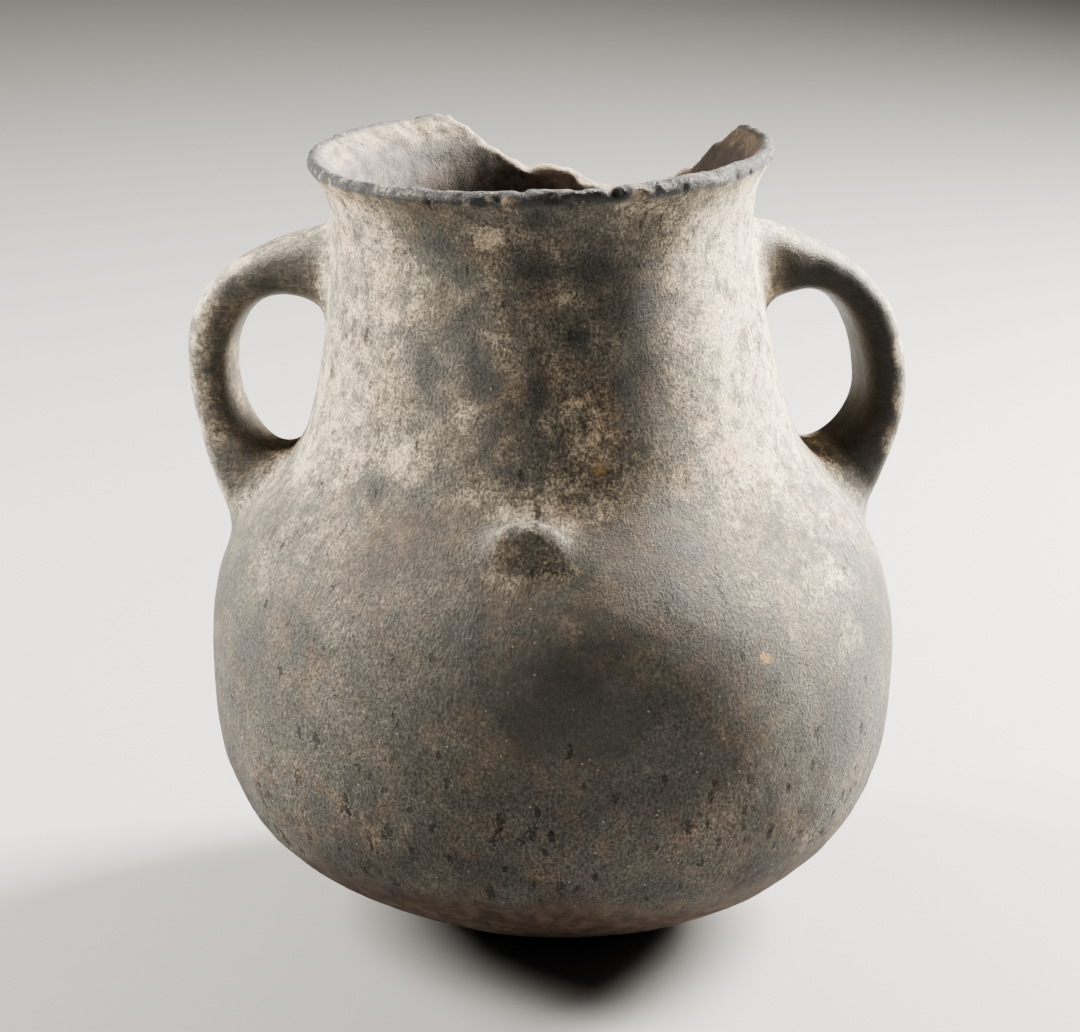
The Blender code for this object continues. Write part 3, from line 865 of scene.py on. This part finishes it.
class ClayFinish(Nodes):
    """Dark burnished clay under a mottled pale deposit, browner and pitted low down."""

    def __init__(self, material):
        super().__init__(material)
        self.place = self.add("ShaderNodeTexCoord", {}).outputs["Object"]
        self.drawn = self.area("drawn", "Vector")
        self.fibre = self.noise(self.scaled(self.drawn, FIBRE_STRETCH), *FIBRE)
        self.streak = self.noise(self.scaled(self.drawn, STREAK_STRETCH), *STREAK)
        self.grain = self.noise(self.place, *GRAIN)
        self.speckle = self.noise(self.place, *SPECKLE)
        self.mottle = self.noise(self.place, *MOTTLE)
        self.cloud = self.noise(self.place, *CLOUD)
        self.rough = self.fade(self.area("smooth"), *ROUGH_FADE)
        self.tone = self.deposit_and_painted_light()
        self.pit = self.hollows()

    def deposit_and_painted_light(self):
        """How thickly the pale deposit lies, along with the painted sheen and painted highlights carried in
        the stored tone.
        """
        tone = self.area("tone")
        patchy = self.product(self.fade(tone, *SPECKLE_ON_DARK), self.fade(tone, *SPECKLE_ON_PALE))
        patchy = self.product(patchy, self.fade(self.speckle, *SPECKLE_FADE))
        blotchy = self.product(self.fade(tone, *MOTTLE_ON_DARK), self.fade(self.mottle, *MOTTLE_FADE))
        amount = self.product(tone, self.sum(1.0, patchy))
        amount = self.product(amount, self.sum(1.0, blotchy))
        amount = self.product(amount, self.fade(self.cloud, *CLOUD_FADE))
        return self.product(amount, self.fade(self.streak, *STREAK_FADE))

    def specks(self):
        """Pale specks of grit, more of them where the stored area says so; on the right belly these stand in
        for painted glints.
        """
        gap, kind = self.cells(self.place, SPECK_SPACING)
        often = self.sum(kind, self.product(self.area("specks"), MORE_SPECKS))
        return self.product(self.fade(gap, *SPECK_EDGE), self.fade(often, *SPECK_CHANCE))

    def hollows(self):
        """Dark pits and upright cracks, most of them low on the body."""
        gap, kind = self.cells(self.scaled(self.drawn, PIT_STRETCH), PIT_SPACING)
        ragged = self.sum(gap, self.fade(self.grain, *PIT_FINE_EDGE))
        ragged = self.sum(ragged, self.fade(self.mottle, *PIT_BROAD_EDGE))
        often = self.sum(kind, self.fade(self.area("low"), *FEWER_PITS_HIGH))
        pit = self.product(self.fade(ragged, *PIT_SIZE), self.fade(often, *PIT_CHANCE))
        pit = self.product(pit, self.fade(self.area("smooth"), *FEWER_PITS_SMOOTH))
        pit = self.product(pit, self.fade(self.area("inside"), *FEWER_PITS_INSIDE))
        gap, kind = self.cells(self.scaled(self.drawn, CRACK_STRETCH), CRACK_SPACING)
        ragged = self.sum(gap, self.fade(self.speckle, *CRACK_EDGE))
        often = self.sum(kind, self.area("low"))
        crack = self.product(self.fade(ragged, *CRACK_SIZE), self.fade(often, *CRACK_CHANCE))
        return self.maths("MAXIMUM", pit, crack)

    def outer_colour(self):
        """Colour of the outer walls: the deposit with its painted sheen and highlights, and its tints,
        strokes, grains, specks and pits.
        """
        colour = self.blend(self.tone, CHARCOAL, CREAM)
        brown = self.product(self.area("earth"), self.fade(self.cloud, *BROWN_CLOUD))
        colour = self.tinted(brown, colour, BROWN_TINT)
        cool = self.product(self.area("cool"), self.fade(self.area("tone"), *COOL_ON_DARK))
        colour = self.tinted(cool, colour, COOL_TINT)
        shade = self.product(self.fade(self.fibre, *FIBRE_SHADE), self.fade(self.grain, *GRAIN_SHADE))
        shade = self.fade(self.rough, 0.0, 1.0, 1.0, shade)
        colour = self.blend(1.0, colour, shade, "MULTIPLY")
        orange = self.product(self.area("orange"), self.fade(self.grain, *ORANGE_GRAIN))
        colour = self.blend(orange, colour, ORANGE)
        colour = self.blend(self.product(self.specks(), SPECK_STRENGTH), colour, SPECK)
        return self.blend(self.product(self.pit, PIT_STRENGTH), colour, PIT_DARK)

    def colour(self):
        """Colour of the whole jar: the outer walls, the inside with its painted shade, the lip with its pale
        dust and painted highlights, the break, and painted shade on the right handle and the rim by the
        break.
        """
        # painted shade inside: from grey near the rim to a darker brown deeper down and towards the right
        inner = self.blend(self.area("depth"), INNER_GREY, INNER_SHADED_BROWN)
        inner = self.blend(1.0, inner, self.fade(self.mottle, *INNER_MOTTLE), "MULTIPLY")
        colour = self.blend(self.area("inside"), self.outer_colour(), inner)
        # pale dust on the lip, with painted highlights where the glint spots lie
        dust_and_glints = self.sum(self.mottle, self.product(self.area("glint"), PAINTED_GLINT_SHARE))
        dust_and_glints = self.product(self.fade(dust_and_glints, *DUST_AND_GLINT_MOTTLE), self.fade(self.speckle, *DUST_AND_GLINT_SPECKLE))
        colour = self.blend(self.area("lip"), colour, self.blend(dust_and_glints, LIP_DARK, LIP_DUST_AND_GLINT))
        crumb = self.blend(self.fade(self.grain, *CRUMB_GRAIN), CRUMB_DARK, CRUMB)
        colour = self.blend(self.area("broken"), colour, crumb)
        clump = self.blend(self.fade(self.speckle, *CLUMP_SPECKLE), CRUMB_DARK, CRUMB)
        colour = self.blend(self.area("clump"), colour, clump)
        # painted shade on the right handle and on the inner rim by the break
        return self.tinted(self.area("painted_shade"), colour, PAINTED_SHADE_TINT)

    def roughness(self):
        """Dull where the deposit is thick, glossier on the handles and on most of the lip."""
        roughness = self.fade(self.tone, *DULLNESS)
        for area, change in AREA_DULLNESS:
            roughness = self.sum(roughness, self.product(self.area(area), change))
        dull = self.fade(self.sum(self.speckle, self.product(self.mottle, LIP_MOTTLE)), *LIP_DULLNESS)
        roughness = self.sum(roughness, self.product(self.area("lip"), dull))
        return self.sum(roughness, self.fade(self.grain, *GRAIN_DULLNESS))

    def bump(self):
        """Fine unevenness of the surface, less of it where the clay is burnished."""
        height = self.sum(self.product(self.fibre, FIBRE_HEIGHT), self.product(self.grain, GRAIN_HEIGHT))
        height = self.sum(height, self.product(self.speckle, SPECKLE_HEIGHT))
        height = self.product(height, self.rough)
        height = self.sum(height, self.product(self.mottle, MOTTLE_HEIGHT))
        height = self.sum(height, self.product(self.pit, PIT_HEIGHT))
        inputs = {"Height": height, "Distance": BUMP_DISTANCE, "Strength": 1.0}
        return self.add("ShaderNodeBump", inputs).outputs[0]


def clay_finish():
    """The jar's material."""
    material = bpy.data.materials.new("clay_finish")
    material.use_nodes = True
    tree = material.node_tree
    shader = tree.nodes["Principled BSDF"]
    shader.inputs["Specular IOR Level"].default_value = SPECULAR
    finish = ClayFinish(material)
    tree.links.new(finish.colour(), shader.inputs["Base Color"])
    tree.links.new(finish.roughness(), shader.inputs["Roughness"])
    tree.links.new(finish.bump(), shader.inputs["Normal"])
    return material


# Floor, light and camera

FLOOR_COLOUR = (0.21, 0.21, 0.21, 1.0)
FLOOR_ROUGHNESS = 0.7
FLOOR_RADIUS = 6.0
FLOOR_SEGMENTS = 96
FLOOR_HEIGHT = -0.0001
ROOM_COLOUR = (0.97, 0.98, 1.0, 1.0)
ROOM_STRENGTH = 0.036
AIM = (0.0, 0.0, 0.13)
LIGHT_DISTANCE = 1.15
LIGHT_SIZE = (0.45, 0.65)
LIGHT_COLOUR = (1.0, 0.94, 0.85)

# Side lights: degrees from the front and upwards, and power in watts
SIDE_LIGHTS = (
    ("light_left", -101.0, 32.0, 100.0),
    ("light_right", 122.0, 30.0, 290.0),
)


def make_floor():
    """A plain pale floor."""
    bm = bmesh.new()
    bmesh.ops.create_circle(bm, cap_ends=True, segments=FLOOR_SEGMENTS, radius=FLOOR_RADIUS)
    mesh = bpy.data.meshes.new("floor")
    bm.to_mesh(mesh)
    bm.free()
    floor = bpy.data.objects.new("floor", mesh)
    floor.location.z = FLOOR_HEIGHT
    bpy.context.scene.collection.objects.link(floor)
    material = bpy.data.materials.new("floor")
    material.use_nodes = True
    shader = material.node_tree.nodes["Principled BSDF"]
    shader.inputs["Base Color"].default_value = FLOOR_COLOUR
    shader.inputs["Roughness"].default_value = FLOOR_ROUGHNESS
    mesh.materials.append(material)


def softbox(name, place, power):
    """A large soft light that looks at the jar."""
    light = bpy.data.lights.new(name, "AREA")
    light.shape = "RECTANGLE"
    light.size, light.size_y = LIGHT_SIZE
    light.energy = power
    light.color = LIGHT_COLOUR
    item = bpy.data.objects.new(name, light)
    item.location = place
    item.rotation_euler = (Vector(AIM) - place).to_track_quat("-Z", "Y").to_euler()
    bpy.context.scene.collection.objects.link(item)


def beside(turn, rise, distance):
    """A place at that distance from the jar's middle, turned from the front and raised by these angles."""
    level = distance * math.cos(rise)
    return Vector(AIM) + Vector((level * math.sin(turn), -level * math.cos(turn), distance * math.sin(rise)))


def make_light():
    """Two soft lights, beside the jar and a little behind it, in a dim room."""
    for name, turn, rise, power in SIDE_LIGHTS:
        softbox(name, beside(math.radians(turn), math.radians(rise), LIGHT_DISTANCE), power)
    world = bpy.data.worlds.new("room")
    world.use_nodes = True
    background = world.node_tree.nodes["Background"]
    background.inputs["Color"].default_value = ROOM_COLOUR
    background.inputs["Strength"].default_value = ROOM_STRENGTH
    bpy.context.scene.world = world


def make_camera():
    """The photograph's camera."""
    data = bpy.data.cameras.new("camera")
    data.lens = CAMERA_LENS
    data.sensor_width = CAMERA_SENSOR
    item = bpy.data.objects.new("camera", data)
    item.location = CAMERA_PLACE
    item.rotation_euler = (math.pi / 2 - CAMERA_DOWN, 0.0, 0.0)
    bpy.context.scene.collection.objects.link(item)
    bpy.context.scene.camera = item


make_camera()
make_light()
make_floor()
make_jar()
